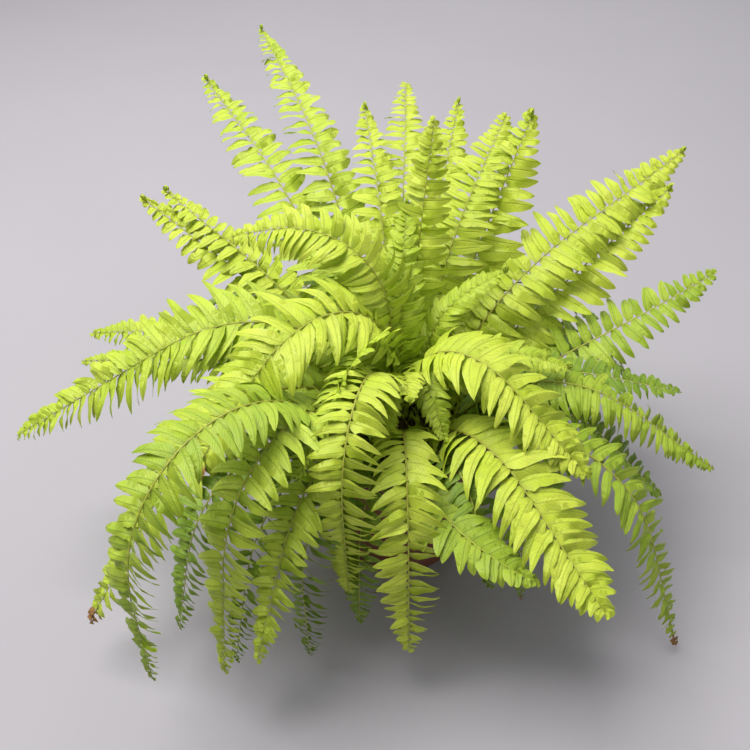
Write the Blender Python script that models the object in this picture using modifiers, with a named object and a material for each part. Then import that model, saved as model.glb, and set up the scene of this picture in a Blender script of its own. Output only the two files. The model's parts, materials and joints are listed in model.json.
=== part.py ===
"""Potted sword fern: a pot, its potting mix, the rootstock crown and every frond as a piece of its own.

Metres, +Z up. The origin is the middle of the pot's underside. A frond is one leaf: a bare stalk that
leaves the crown squarely, and a blade of leaflets, held here as one thin curved sheet.
"""

from itertools import combinations
from math import atan2, cos, pi, radians, sin
from typing import NamedTuple

import bmesh
import bpy
from mathutils import Matrix, Vector
from mathutils.bvhtree import BVHTree

# Pot
POT_HEIGHT = 0.092
POT_TOP_RADIUS = 0.052
POT_BASE_RADIUS = 0.037
POT_WALL = 0.0018
POT_FLOOR = 0.0022
RIM_BAND_HEIGHT = 0.014
RIM_BAND_DEPTH = 0.0016
POT_EDGE_ROUND = 0.0006
DRAIN_HOLES = 6
DRAIN_RADIUS = 0.0038
DRAIN_CIRCLE_RADIUS = 0.024
DRAIN_SIDES = 16
TURN_STEPS = 48

# Potting mix and crown
MIX_BELOW_RIM = 0.010
MIX_CROWNING = 0.002
MIX_SHOULDER = 0.8
CROWN_RADIUS = 0.036
CROWN_HALF_HEIGHT = 0.022
CROWN_SINK = 0.004
CROWN_RINGS = 10
CROWN_SIDES = 20

# Fronds
BLADE_THICKNESS = 0.0012
STALK_HALF_WIDTH = 0.0014
BLADE_CAMBER = 0.16
BLADE_STATIONS = 13
FACES_A_ROW = 6
BLADE_TAPER = 0.75
BEND_SPREAD = 0.34

# Room left between pieces
TOUCH_GAP = 0.0003
FROND_GAP = 0.0008
GROUND_GAP = 0.004

# How far fronds push past each other, a turn at a time, until none touch
SETTLE_TURNS = 240
PUSH_TURNS = 24
SETTLE_PITCH = 0.5
SETTLE_YAW = 0.2
MOST_PITCH = 7.0
MOST_YAW = 5.0
CROWDED_BARE = 0.012
CROWDED_NARROWER = 0.97
MOST_BARE = 0.60
MOST_LAUNCH = 89.0
POT_TOUCH_SHARE = 0.3

COLLECTION = "potted_fern"


class Frond(NamedTuple):
    """One leaf. Angles in degrees, lengths in millimetres."""

    kind: str
    azimuth: float  # the way it leans, counter-clockwise from +X
    launch: float  # its slope where it leaves the crown
    droop: float  # its slope at the tip
    bend_at: float  # the share of its length where it bends most
    length: float
    half_width: float
    sweep: float = 0.0  # how far it turns sideways towards the tip
    roll: float = 0.0  # how far the blade leans over about its midrib
    bare: float = 0.10  # the share of its length that is bare stalk
    broad_at: float = 0.36  # the share of its length where the blade is broadest


FRONDS = (
    Frond("arching", 158, 86, -20, 0.60, 165, 27, 8, -30),
    Frond("arching", 189, 70, -36, 0.28, 248, 28, 0, -28),
    Frond("arching", 220, 86, -58, 0.44, 196, 28, 0, -20),
    Frond("arching", 214, 63, -58, 0.30, 238, 27, -4, -20),
    Frond("arching", 230, 58, -75, 0.50, 282, 22),
    Frond("arching", 238, 64, -68, 0.42, 235, 21),
    Frond("arching", 248, 54, -45, 0.40, 165, 20),
    Frond("arching", 251, 80, -80, 0.43, 212, 21, 10),
    Frond("arching", 270, 56, -82, 0.36, 170, 20),
    Frond("arching", 301, 58, -25, 0.30, 150, 31),
    Frond("arching", 317, 84, -42, 0.38, 152, 26),
    Frond("arching", 276, 38, -10, 0.36, 114, 20, 60),
    Frond("arching", 346, 48, -38, 0.40, 165, 20),
    Frond("arching", 331, 44, -56, 0.38, 215, 21),
    Frond("upright", 118, 54, 14, 0.50, 252, 18),
    Frond("upright", 126, 52, 20, 0.50, 218, 24),
    Frond("upright", 158, 46, 25, 0.40, 163, 18, 0, -20),
    Frond("upright", 146, 54, 20, 0.40, 160, 17),
    Frond("upright", 12, 37, 28, 0.30, 158, 23, 10, 15),
    Frond("upright", 24, 44, 33, 0.30, 168, 27, 4, 15),
    Frond("upright", 34, 59, 20, 0.35, 196, 26, 0, 15),
    Frond("upright", 53, 54, 45, 0.50, 160, 27),
    Frond("upright", 61, 66, 34, 0.50, 162, 22),
    Frond("upright", 71, 54, 30, 0.50, 170, 18),
    Frond("upright", 77, 76, 54, 0.50, 148, 18),
    Frond("upright", 88, 62, 22, 0.50, 190, 20),
    Frond("upright", 99, 72, 30, 0.50, 165, 17),
    Frond("hanging", 166, 46, -6, 0.45, 158, 18, 0, -20),
    Frond("hanging", 174, 42, 0, 0.40, 152, 16, 0, -20),
    Frond("hanging", 198, 44, -45, 0.40, 150, 17),
    Frond("hanging", 222, 46, -60, 0.45, 185, 18),
    Frond("hanging", 235, 42, -66, 0.42, 172, 14),
    Frond("hanging", 247, 42, -84, 0.38, 165, 14),
    Frond("hanging", 259, 38, -84, 0.36, 122, 13),
    Frond("hanging", 288, 42, -60, 0.45, 110, 13),
    Frond("hanging", 303, 40, -80, 0.45, 130, 9),
    Frond("hanging", 315, 40, -50, 0.40, 125, 17),
    Frond("hanging", 338, 40, -50, 0.40, 140, 16),
    Frond("hanging", 0, 46, -15, 0.40, 130, 16),
    Frond("hanging", 22, 40, -45, 0.40, 165, 17),
    Frond("hanging", 44, 42, -40, 0.40, 180, 18),
    Frond("hanging", 62, 42, -38, 0.40, 180, 17),
    Frond("hanging", 78, 44, -44, 0.42, 195, 19),
    Frond("hanging", 93, 42, -52, 0.40, 185, 17),
    Frond("hanging", 108, 42, -38, 0.42, 195, 19),
    Frond("hanging", 124, 42, -50, 0.40, 180, 17),
    Frond("hanging", 140, 42, -40, 0.40, 185, 18),
    Frond("young", 15, 76, 10, 0.60, 95, 11),
    Frond("young", 90, 86, 20, 0.60, 115, 12),
    Frond("young", 345, 70, -10, 0.55, 95, 12),
    Frond("young", 318, 74, -10, 0.60, 80, 10),
    Frond("young", 143, 78, 10, 0.60, 105, 12),
    Frond("young", 241, 80, -45, 0.45, 145, 13, 0, 55),
    Frond("young", 275, 78, 4, 0.60, 75, 10),
    Frond("young", 195, 70, 0, 0.60, 85, 11),
    Frond("young", 294, 78, -60, 0.50, 88, 12),
    Frond("young", 262, 74, -60, 0.50, 80, 11),
)


def clear_scene() -> None:
    """Removes what the startup scene holds."""
    for obj in list(bpy.data.objects):
        bpy.data.objects.remove(obj)


def new_collection(name: str, hidden: bool = False) -> bpy.types.Collection:
    """A collection linked to the scene."""
    made = bpy.data.collections.new(name)
    made.hide_render = hidden
    bpy.context.scene.collection.children.link(made)
    return made


def new_material(name: str, colour: tuple, roughness: float) -> bpy.types.Material:
    """A plain material with a Principled BSDF."""
    made = bpy.data.materials.new(name)
    made.use_nodes = True
    shader = made.node_tree.nodes["Principled BSDF"]
    shader.inputs["Base Color"].default_value = (*colour, 1.0)
    shader.inputs["Roughness"].default_value = roughness
    shader.inputs["Metallic"].default_value = 0.0
    return made


def add_object(name: str, bm: bmesh.types.BMesh, material, collection) -> bpy.types.Object:
    """Makes an object of a bmesh, and frees the bmesh."""
    mesh = bpy.data.meshes.new(name)
    bm.to_mesh(mesh)
    bm.free()
    obj = bpy.data.objects.new(name, mesh)
    obj.data.materials.append(material)
    collection.objects.link(obj)
    return obj


def smooth(obj: bpy.types.Object, sharp_angle: float = 35.0) -> None:
    """Shades the object smooth, with sharp edges kept."""
    obj.data.shade_smooth()
    obj.data.set_sharp_from_angle(angle=radians(sharp_angle))


def turned(name: str, profile: list, material, collection) -> bpy.types.Object:
    """Turns a profile of (radius, height) about +Z, both ends on the axis, from the top down."""
    bm = bmesh.new()
    verts = [bm.verts.new((radius, 0.0, height)) for radius, height in profile]
    for above, below in zip(verts, verts[1:]):
        bm.edges.new((above, below))
    obj = add_object(name, bm, material, collection)
    screw = obj.modifiers.new("turn", "SCREW")
    screw.steps = TURN_STEPS
    screw.render_steps = TURN_STEPS
    screw.use_merge_vertices = True
    screw.merge_threshold = 0.00001
    return obj


def cut(obj: bpy.types.Object, cutter: bpy.types.Object) -> None:
    """Takes the cutter's shape out of the object."""
    cutter.hide_render = True
    cutter.display_type = "WIRE"
    boolean = obj.modifiers.new("cut_" + cutter.name, "BOOLEAN")
    boolean.operation = "DIFFERENCE"
    boolean.solver = "EXACT"
    boolean.object = cutter


def pot_outer_radius(height: float) -> float:
    """The tapered wall's outer radius at a height, under the rim band."""
    top = POT_TOP_RADIUS - RIM_BAND_DEPTH
    return POT_BASE_RADIUS + (top - POT_BASE_RADIUS) * height / POT_HEIGHT


def pot_inner_radius(height: float) -> float:
    """The tapered wall's inner radius at a height."""
    return pot_outer_radius(height) - POT_WALL


def build_pot(material, collection, cutters) -> bpy.types.Object:
    """A tapered pot with a rim band outside, a flat floor and drain holes round the floor."""
    band_foot = POT_HEIGHT - RIM_BAND_HEIGHT
    soft = POT_EDGE_ROUND
    profile = [
        (0.0, POT_FLOOR),
        (pot_inner_radius(POT_FLOOR), POT_FLOOR),
        (pot_inner_radius(POT_HEIGHT), POT_HEIGHT - soft),
        (pot_inner_radius(POT_HEIGHT) + soft, POT_HEIGHT),
        (POT_TOP_RADIUS - soft, POT_HEIGHT),
        (POT_TOP_RADIUS, POT_HEIGHT - soft),
        (POT_TOP_RADIUS, band_foot + soft),
        (POT_TOP_RADIUS - soft, band_foot),
        (pot_outer_radius(band_foot), band_foot),
        (pot_outer_radius(soft), soft),
        (POT_BASE_RADIUS - soft, 0.0),
        (0.0, 0.0),
    ]
    pot = turned("pot", profile, material, collection)
    for hole in range(DRAIN_HOLES):
        turn = 2 * pi * (hole + 0.5) / DRAIN_HOLES
        bm = bmesh.new()
        place = Matrix.Translation(
            (DRAIN_CIRCLE_RADIUS * cos(turn), DRAIN_CIRCLE_RADIUS * sin(turn), POT_FLOOR / 2)
        )
        bmesh.ops.create_cone(
            bm,
            cap_ends=True,
            segments=DRAIN_SIDES,
            radius1=DRAIN_RADIUS,
            radius2=DRAIN_RADIUS,
            depth=2 * POT_FLOOR,
            matrix=place,
        )
        cut(pot, add_object(f"drain_cutter_{hole + 1}", bm, material, cutters))
    smooth(pot)
    return pot


def crown_centre() -> Vector:
    """The middle of the round crown, which sits partly in the mix."""
    return Vector((0.0, 0.0, POT_HEIGHT - MIX_BELOW_RIM + MIX_CROWNING - CROWN_SINK))


def crown_ball(swell: float) -> bmesh.types.BMesh:
    """The flattened ball of the crown, swollen by a margin."""
    bm = bmesh.new()
    bmesh.ops.create_uvsphere(bm, u_segments=CROWN_SIDES, v_segments=CROWN_RINGS, radius=1.0)
    size = (CROWN_RADIUS + swell, CROWN_RADIUS + swell, CROWN_HALF_HEIGHT + swell)
    bmesh.ops.scale(bm, vec=size, verts=bm.verts)
    bmesh.ops.translate(bm, vec=crown_centre(), verts=bm.verts)
    return bm


def crown_point(heading: float, slope: float) -> Vector:
    """The place on the crown whose outward way has this heading and slope, in radians."""
    lift = atan2(CROWN_HALF_HEIGHT * sin(slope), CROWN_RADIUS * cos(slope))
    out = CROWN_RADIUS * cos(lift)
    place = Vector((out * cos(heading), out * sin(heading), CROWN_HALF_HEIGHT * sin(lift)))
    return crown_centre() + place


def build_mix(material, collection, cutters) -> bpy.types.Object:
    """The potting mix: it fills the pot to below the rim, a little domed, with a seat for the crown."""
    top = POT_HEIGHT - MIX_BELOW_RIM
    foot = POT_FLOOR + TOUCH_GAP
    profile = [
        (0.0, top + MIX_CROWNING),
        (CROWN_RADIUS, top + MIX_CROWNING * MIX_SHOULDER),
        (pot_inner_radius(top) - TOUCH_GAP, top),
        (pot_inner_radius(foot) - TOUCH_GAP, foot),
        (0.0, foot),
    ]
    mix = turned("potting_mix", profile, material, collection)
    cut(mix, add_object("crown_cutter", crown_ball(TOUCH_GAP), material, cutters))
    smooth(mix)
    return mix


def build_crown(material, collection) -> bpy.types.Object:
    """The rootstock crown that every frond grows from."""
    crown = add_object("rootstock_crown", crown_ball(0.0), material, collection)
    smooth(crown)
    return crown


def ease(value: float) -> float:
    """A smooth step from 0 to 1."""
    value = min(max(value, 0.0), 1.0)
    return value * value * (3.0 - 2.0 * value)


def slope_at(frond: Frond, share: float) -> float:
    """The midrib's slope in radians at a share of its length."""
    start = frond.bend_at - BEND_SPREAD
    bent = ease((share - start) / (2 * BEND_SPREAD)) - ease(-start / (2 * BEND_SPREAD))
    full = ease((1 - start) / (2 * BEND_SPREAD)) - ease(-start / (2 * BEND_SPREAD))
    return radians(frond.launch + (frond.droop - frond.launch) * bent / full)


def heading_at(frond: Frond, share: float) -> float:
    """The midrib's compass turn in radians at a share of its length."""
    return radians(frond.azimuth + frond.sweep * ease(share))


def direction_at(frond: Frond, share: float) -> Vector:
    """The way that the midrib runs at a share of its length."""
    slope = slope_at(frond, share)
    heading = heading_at(frond, share)
    return Vector((cos(slope) * cos(heading), cos(slope) * sin(heading), sin(slope)))


def half_width_at(frond: Frond, share: float) -> float:
    """The blade's half width: a bare stalk, a quick widening, then a long taper to the tip."""
    widened = ease((share - frond.bare) / (frond.broad_at - frond.bare))
    tapered = (1.0 - max(share - frond.broad_at, 0.0) / (1.0 - frond.broad_at)) ** BLADE_TAPER
    return max(frond.half_width / 1000 * widened * tapered, STALK_HALF_WIDTH)


def blade_rows(frond: Frond) -> list:
    """The blade's cross rows from the crown out: each the left edge, the midrib and the right edge."""
    step = frond.length / 1000 / (BLADE_STATIONS - 1)
    place = crown_point(heading_at(frond, 0.0), slope_at(frond, 0.0)) + direction_at(frond, 0.0) * TOUCH_GAP
    rows = []
    for station in range(BLADE_STATIONS):
        share = station / (BLADE_STATIONS - 1)
        if station:
            place = place + direction_at(frond, share - 0.5 / (BLADE_STATIONS - 1)) * step
        along = direction_at(frond, share)
        heading = heading_at(frond, share)
        side = Vector((-sin(heading), cos(heading), 0.0))
        side.rotate(Matrix.Rotation(radians(frond.roll) * ease(3 * share), 3, along))
        up = side.cross(along) * -1.0
        width = half_width_at(frond, share)
        sag = up * (width * BLADE_CAMBER)
        rows.append((place + side * width - sag, place.copy(), place - side * width - sag))
    return rows


def shell_of(rows: list, half_thickness: float) -> tuple:
    """The rows as a closed shell of points and quads, for the clearance test."""
    top, bottom = [], []
    for index, row in enumerate(rows):
        before, after = rows[max(index - 1, 0)], rows[min(index + 1, len(rows) - 1)]
        along = after[1] - before[1]
        for point, across in zip(row, (row[1] - row[0], row[2] - row[0], row[2] - row[1])):
            normal = across.cross(along).normalized() * half_thickness
            top.append(point + normal)
            bottom.append(point - normal)
    count = len(top)
    faces = []
    for index in range(len(rows) - 1):
        for left in (3 * index, 3 * index + 1):
            quad = (left, left + 1, left + 4, left + 3)
            faces.append(quad)
            faces.append(tuple(corner + count for corner in reversed(quad)))
        for edge in (3 * index, 3 * index + 2):
            faces.append((edge, edge + 3, edge + 3 + count, edge + count))
    return top + bottom, faces


def tree_of(frond: Frond) -> BVHTree:
    """The frond's shell with half of the room kept round it."""
    points, faces = shell_of(blade_rows(frond), (BLADE_THICKNESS + FROND_GAP) / 2)
    return BVHTree.FromPolygons(points, faces)


def pot_tree() -> BVHTree:
    """The pot's tapered outside and the top of its mix, as open surfaces that no frond may cross."""
    sides = TURN_STEPS // 2
    top = POT_HEIGHT - MIX_BELOW_RIM + MIX_CROWNING + TOUCH_GAP
    rings = (
        (POT_BASE_RADIUS + FROND_GAP, 0.0),
        (POT_TOP_RADIUS + FROND_GAP, POT_HEIGHT + FROND_GAP),
        (CROWN_RADIUS, top),
        (pot_inner_radius(POT_HEIGHT), top),
    )
    points = []
    for radius, height in rings:
        for side in range(sides):
            turn = 2 * pi * side / sides
            points.append(Vector((radius * cos(turn), radius * sin(turn), height)))
    faces = []
    for ring in (0, 2):
        for side in range(sides):
            after = (side + 1) % sides
            quad = (side, after, after + sides, side + sides)
            faces.append(tuple(corner + ring * sides for corner in quad))
    return BVHTree.FromPolygons(points, faces)


def pushed(frond: Frond, as_grown: Frond, pitch: float, yaw: float, share: float) -> Frond:
    """The frond a little higher and further round, most where touched, and never far from as it grew."""
    launch = frond.launch + pitch * (1.0 - share)
    droop = frond.droop + 2 * pitch * share
    azimuth = frond.azimuth + yaw
    return frond._replace(
        launch=min(max(launch, as_grown.launch - MOST_PITCH), as_grown.launch + MOST_PITCH, MOST_LAUNCH),
        droop=min(max(droop, as_grown.droop - 2 * MOST_PITCH), as_grown.droop + 2 * MOST_PITCH),
        azimuth=min(max(azimuth, as_grown.azimuth - MOST_YAW), as_grown.azimuth + MOST_YAW),
    )


def crowded(frond: Frond, share: float) -> Frond:
    """The frond with its blade a little further out or, where it is touched far out, a little narrower."""
    if share <= frond.bare:
        return frond
    if share < frond.broad_at and frond.bare < MOST_BARE:
        return frond._replace(bare=frond.bare + CROWDED_BARE, broad_at=frond.broad_at + CROWDED_BARE)
    return frond._replace(half_width=frond.half_width * CROWDED_NARROWER)


def touch_of(first: list, second: list, faces: list) -> tuple:
    """Where two blades touch: the share along each, and how much higher the first one is there."""
    one = sum(face // FACES_A_ROW for face, _ in faces) / len(faces)
    two = sum(face // FACES_A_ROW for _, face in faces) / len(faces)
    rise = first[round(one)][1].z - second[round(two)][1].z
    last = BLADE_STATIONS - 2
    return one / last, two / last, rise


def lone_move(rows: list, tree: BVHTree, pot: BVHTree) -> list:
    """What the ground or the pot asks of a frond: pitch, yaw, the share touched and the touches."""
    lowest = min(min(point.z for point in row) for row in rows)
    if lowest < GROUND_GAP:
        return [SETTLE_PITCH, 0.0, 1.0, 1]
    if tree.overlap(pot):
        return [SETTLE_PITCH, 0.0, POT_TOUCH_SHARE, 1]
    return [0.0, 0.0, 0.0, 0]


def moves_of(fronds: list, pot: BVHTree) -> list:
    """What each frond's touches ask of it in one turn."""
    rows = [blade_rows(frond) for frond in fronds]
    trees = [tree_of(frond) for frond in fronds]
    moves = [lone_move(own, tree, pot) for own, tree in zip(rows, trees)]
    for first, second in combinations(range(len(fronds)), 2):
        faces = trees[first].overlap(trees[second])
        if not faces:
            continue
        one, two, rise = touch_of(rows[first], rows[second], faces)
        lift = SETTLE_PITCH if rise >= 0 else -SETTLE_PITCH
        away = (fronds[first].azimuth - fronds[second].azimuth + 180) % 360 - 180
        yaw = SETTLE_YAW if away >= 0 else -SETTLE_YAW
        for index, share, sign in ((first, one, 1), (second, two, -1)):
            moves[index][0] += sign * lift
            moves[index][1] += sign * yaw
            moves[index][2] += share
            moves[index][3] += 1
    return moves


def settled(grown: tuple) -> list:
    """The fronds as they come to rest: lifted off the ground and the pot, and clear of each other."""
    fronds = list(grown)
    pot = pot_tree()
    for turn in range(SETTLE_TURNS):
        moves = moves_of(fronds, pot)
        if not any(touches for _, _, _, touches in moves):
            break
        for index, (pitch, yaw, shares, touches) in enumerate(moves):
            if not touches:
                continue
            fronds[index] = pushed(fronds[index], grown[index], pitch, yaw, shares / touches)
            if turn > PUSH_TURNS:
                fronds[index] = crowded(fronds[index], shares / touches)
    return fronds


def build_frond(name: str, frond: Frond, material, collection) -> bpy.types.Object:
    """One leaf as an open sheet with a wall."""
    rows = blade_rows(frond)
    bm = bmesh.new()
    bmesh.ops.create_grid(bm, x_segments=2, y_segments=BLADE_STATIONS - 1, size=1.0)
    for vert in bm.verts:
        column = round(vert.co.x + 1.0)
        station = round((vert.co.y + 1.0) / 2.0 * (BLADE_STATIONS - 1))
        vert.co = rows[station][column]
    obj = add_object(name, bm, material, collection)
    wall = obj.modifiers.new("wall", "SOLIDIFY")
    wall.thickness = BLADE_THICKNESS
    wall.offset = 0.0
    smooth(obj)
    return obj


def main() -> None:
    """Builds the whole plant in its pot."""
    clear_scene()
    collection = new_collection(COLLECTION)
    cutters = new_collection("cutters", hidden=True)
    terracotta = new_material("terracotta_plastic", (0.30, 0.085, 0.04), 0.55)
    compost = new_material("potting_mix", (0.05, 0.032, 0.02), 0.95)
    rhizome = new_material("rootstock", (0.10, 0.06, 0.03), 0.9)
    leaves = {
        "arching": new_material("leaf_bright", (0.50, 0.66, 0.06), 0.5),
        "upright": new_material("leaf_fresh", (0.44, 0.60, 0.06), 0.5),
        "hanging": new_material("leaf_shaded", (0.17, 0.30, 0.03), 0.55),
        "young": new_material("leaf_young", (0.48, 0.66, 0.09), 0.5),
    }
    build_pot(terracotta, collection, cutters)
    build_mix(compost, collection, cutters)
    build_crown(rhizome, collection)
    counts = dict.fromkeys(leaves, 0)
    for frond in settled(FRONDS):
        counts[frond.kind] += 1
        name = f"{frond.kind}_frond_{counts[frond.kind]:02d}"
        build_frond(name, frond, leaves[frond.kind], collection)


main()
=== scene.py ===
"""Potted golden sword fern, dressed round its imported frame.

The frame holds each frond as one plain curved sheet. Here every frond gets a round midrib and two rows
of leaflets, and the pot, its potting mix and the rootstock crown get their real shapes and surfaces.
"""

import json
import logging
import math
import random
from collections.abc import Iterator
from dataclasses import dataclass, field
from enum import Enum
from typing import ClassVar

import bmesh
import bpy
from mathutils import Matrix, Vector, noise

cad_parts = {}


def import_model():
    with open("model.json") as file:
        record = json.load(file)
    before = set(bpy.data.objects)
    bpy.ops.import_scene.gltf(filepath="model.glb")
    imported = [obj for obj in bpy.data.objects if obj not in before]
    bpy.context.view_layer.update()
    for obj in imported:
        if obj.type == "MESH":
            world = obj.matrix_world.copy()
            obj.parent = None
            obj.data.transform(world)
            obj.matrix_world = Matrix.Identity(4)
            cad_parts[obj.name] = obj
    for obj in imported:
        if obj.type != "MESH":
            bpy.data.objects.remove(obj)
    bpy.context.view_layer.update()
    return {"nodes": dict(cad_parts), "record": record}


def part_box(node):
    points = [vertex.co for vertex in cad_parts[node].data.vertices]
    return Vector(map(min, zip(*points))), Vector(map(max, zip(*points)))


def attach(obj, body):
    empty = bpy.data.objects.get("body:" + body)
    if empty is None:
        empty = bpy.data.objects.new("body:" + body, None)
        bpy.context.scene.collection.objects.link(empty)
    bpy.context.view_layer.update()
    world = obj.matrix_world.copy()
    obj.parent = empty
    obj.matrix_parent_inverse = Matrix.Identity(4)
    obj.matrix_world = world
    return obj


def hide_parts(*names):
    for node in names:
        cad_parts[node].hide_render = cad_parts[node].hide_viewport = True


LOG = logging.getLogger("potted_fern")
MM = 0.001
LEAF_UV = "leaf_uv"
LEAF_DATA = "leaf_data"
UP = Vector((0.0, 0.0, 1.0))
# The way that the light came from while the plant grew: blades turn their faces a little to it.
LIGHT_SIDE = Vector((0.0, -0.74, 0.67))

Socket = bpy.types.NodeSocket
Material = bpy.types.Material
BMesh = bmesh.types.BMesh
Colour = tuple[float, float, float]
# A point's chance number, its share along the frond, how withered it is, and 1.
PointData = tuple[float, float, float, float]


def ease(value: float) -> float:
    """Returns a smooth step from 0 to 1."""
    value = min(max(value, 0.0), 1.0)
    return value * value * (3.0 - 2.0 * value)


def blend(low: float, high: float, share: float) -> float:
    """Returns the value that lies a share of the way from low to high."""
    return low + (high - low) * share


class LeafTone(Enum):
    """How green a frond is: partly the deeper green of fronds that grew in less light, partly painted shade
    on fronds that sit low and deep in the plant and painted light on those that sit high and open.
    """

    BRIGHT = "bright"
    FRESH = "fresh"
    MIDDLE = "middle"
    SHADED = "shaded"


class TipKind(Enum):
    """How a frond ends."""

    TAPERED = "tapered"
    CROZIER = "crozier"
    WITHERED = "withered"


class Corner(Enum):
    """The corners round a leaflet's section: its share of the half breadth, and its side of the sheet."""

    RIGHT_EDGE = (1.0, 0)
    RIGHT_TOP = (0.5, 1)
    VEIN_TOP = (0.0, 1)
    LEFT_TOP = (-0.5, 1)
    LEFT_EDGE = (-1.0, 0)
    VEIN_BELOW = (0.0, -1)


LEAFLET_CORNERS = tuple(Corner)


# ---------------------------------------------------------------------------------------------------
# Shader building
# ---------------------------------------------------------------------------------------------------


class Nodes:
    """A node tree being wired, in short calls."""

    def __init__(self, tree: bpy.types.NodeTree) -> None:
        """Keeps the tree.

        Args:
            tree: the material's or the group's node tree.
        """
        self.tree = tree

    def feed(self, socket: Socket, value: object) -> None:
        """Links a socket to another, or sets its value.

        Args:
            socket: the input to fill.
            value: an output socket, a number, or a colour.
        """
        if isinstance(value, Socket):
            self.tree.links.new(value, socket)
        elif isinstance(value, tuple) and socket.type == "RGBA" and len(value) == 3:
            socket.default_value = (*value, 1.0)
        else:
            socket.default_value = value

    def math(self, operation: str, *values: object) -> Socket:
        """Adds a Math node.

        Args:
            operation: the Math node's operation.
            values: its inputs in order.

        Returns:
            The node's output.
        """
        node = self.tree.nodes.new("ShaderNodeMath")
        node.operation = operation
        for socket, value in zip(node.inputs, values):
            self.feed(socket, value)
        return node.outputs[0]

    def mix(self, share: object, first: object, second: object) -> Socket:
        """Adds a colour Mix node.

        Args:
            share: how much of the second colour.
            first: the colour at 0.
            second: the colour at 1.

        Returns:
            The mixed colour.
        """
        node = self.tree.nodes.new("ShaderNodeMix")
        node.data_type = "RGBA"
        self.feed(node.inputs[0], share)
        self.feed(node.inputs[6], first)
        self.feed(node.inputs[7], second)
        return node.outputs[2]

    def ramp(
        self, value: object, low: float, high: float, start: float = 0.0, end: float = 1.0
    ) -> Socket:
        """Adds a smooth Map Range node.

        Args:
            value: the number to map.
            low: where it starts to rise.
            high: where it stops.
            start: the result at low.
            end: the result at high.

        Returns:
            The mapped number.
        """
        node = self.tree.nodes.new("ShaderNodeMapRange")
        node.interpolation_type = "SMOOTHSTEP"
        for socket, number in zip(node.inputs, (value, low, high, start, end)):
            self.feed(socket, number)
        return node.outputs[0]

    def noise(
        self, vector: object, scale: object, detail: float = 2.0, roughness: float = 0.5
    ) -> Socket:
        """Adds a Noise Texture node.

        Args:
            vector: where it is read.
            scale: its scale, per metre on Object coordinates.
            detail: its octaves.
            roughness: how strong the fine octaves are.

        Returns:
            Its value, about 0.3 to 0.7.
        """
        node = self.tree.nodes.new("ShaderNodeTexNoise")
        self.feed(node.inputs["Vector"], vector)
        self.feed(node.inputs["Scale"], scale)
        node.inputs["Detail"].default_value = detail
        node.inputs["Roughness"].default_value = roughness
        return node.outputs["Fac"]

    def cells(self, vector: object, scale: object) -> Socket:
        """Adds a Voronoi Texture node and returns its distance."""
        node = self.tree.nodes.new("ShaderNodeTexVoronoi")
        self.feed(node.inputs["Vector"], vector)
        self.feed(node.inputs["Scale"], scale)
        return node.outputs["Distance"]

    def object_place(self) -> Socket:
        """Returns the Object coordinates."""
        return self.tree.nodes.new("ShaderNodeTexCoord").outputs["Object"]

    def stretched(self, vector: object, scale: tuple[float, float, float]) -> Socket:
        """Adds a Mapping node that scales a pattern, and returns its vector."""
        node = self.tree.nodes.new("ShaderNodeMapping")
        self.feed(node.inputs["Vector"], vector)
        node.inputs["Scale"].default_value = scale
        return node.outputs["Vector"]

    def leaf_uv(self) -> tuple[Socket, Socket]:
        """Returns how far along its leaflet a point lies, and how far across, 0 to 1 each."""
        node = self.tree.nodes.new("ShaderNodeUVMap")
        node.uv_map = LEAF_UV
        split = self.tree.nodes.new("ShaderNodeSeparateXYZ")
        self.feed(split.inputs[0], node.outputs[0])
        return split.outputs[0], split.outputs[1]

    def leaf_data(self) -> tuple[Socket, ...]:
        """Returns a leaflet's chance number, its share along the frond, and how withered it is."""
        node = self.tree.nodes.new("ShaderNodeAttribute")
        node.attribute_name = LEAF_DATA
        split = self.tree.nodes.new("ShaderNodeSeparateColor")
        self.feed(split.inputs[0], node.outputs["Color"])
        return split.outputs[0], split.outputs[1], split.outputs[2]

    def bump(self, height: object, strength: float, distance: float) -> Socket:
        """Adds a Bump node.

        Args:
            height: the height map.
            strength: how much of it shows.
            distance: how high 1 stands, in metres.

        Returns:
            The normal.
        """
        node = self.tree.nodes.new("ShaderNodeBump")
        node.inputs["Strength"].default_value = strength
        node.inputs["Distance"].default_value = distance
        self.feed(node.inputs["Height"], height)
        return node.outputs["Normal"]

    def group(self, tree: bpy.types.NodeTree, **values: object) -> bpy.types.Node:
        """Places a node group with its own values.

        Args:
            tree: the group.
            values: an entry for each input, by name.

        Returns:
            The group's node.
        """
        node = self.tree.nodes.new("ShaderNodeGroup")
        node.node_tree = tree
        for name, value in values.items():
            self.feed(node.inputs[name], value)
        return node


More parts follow.
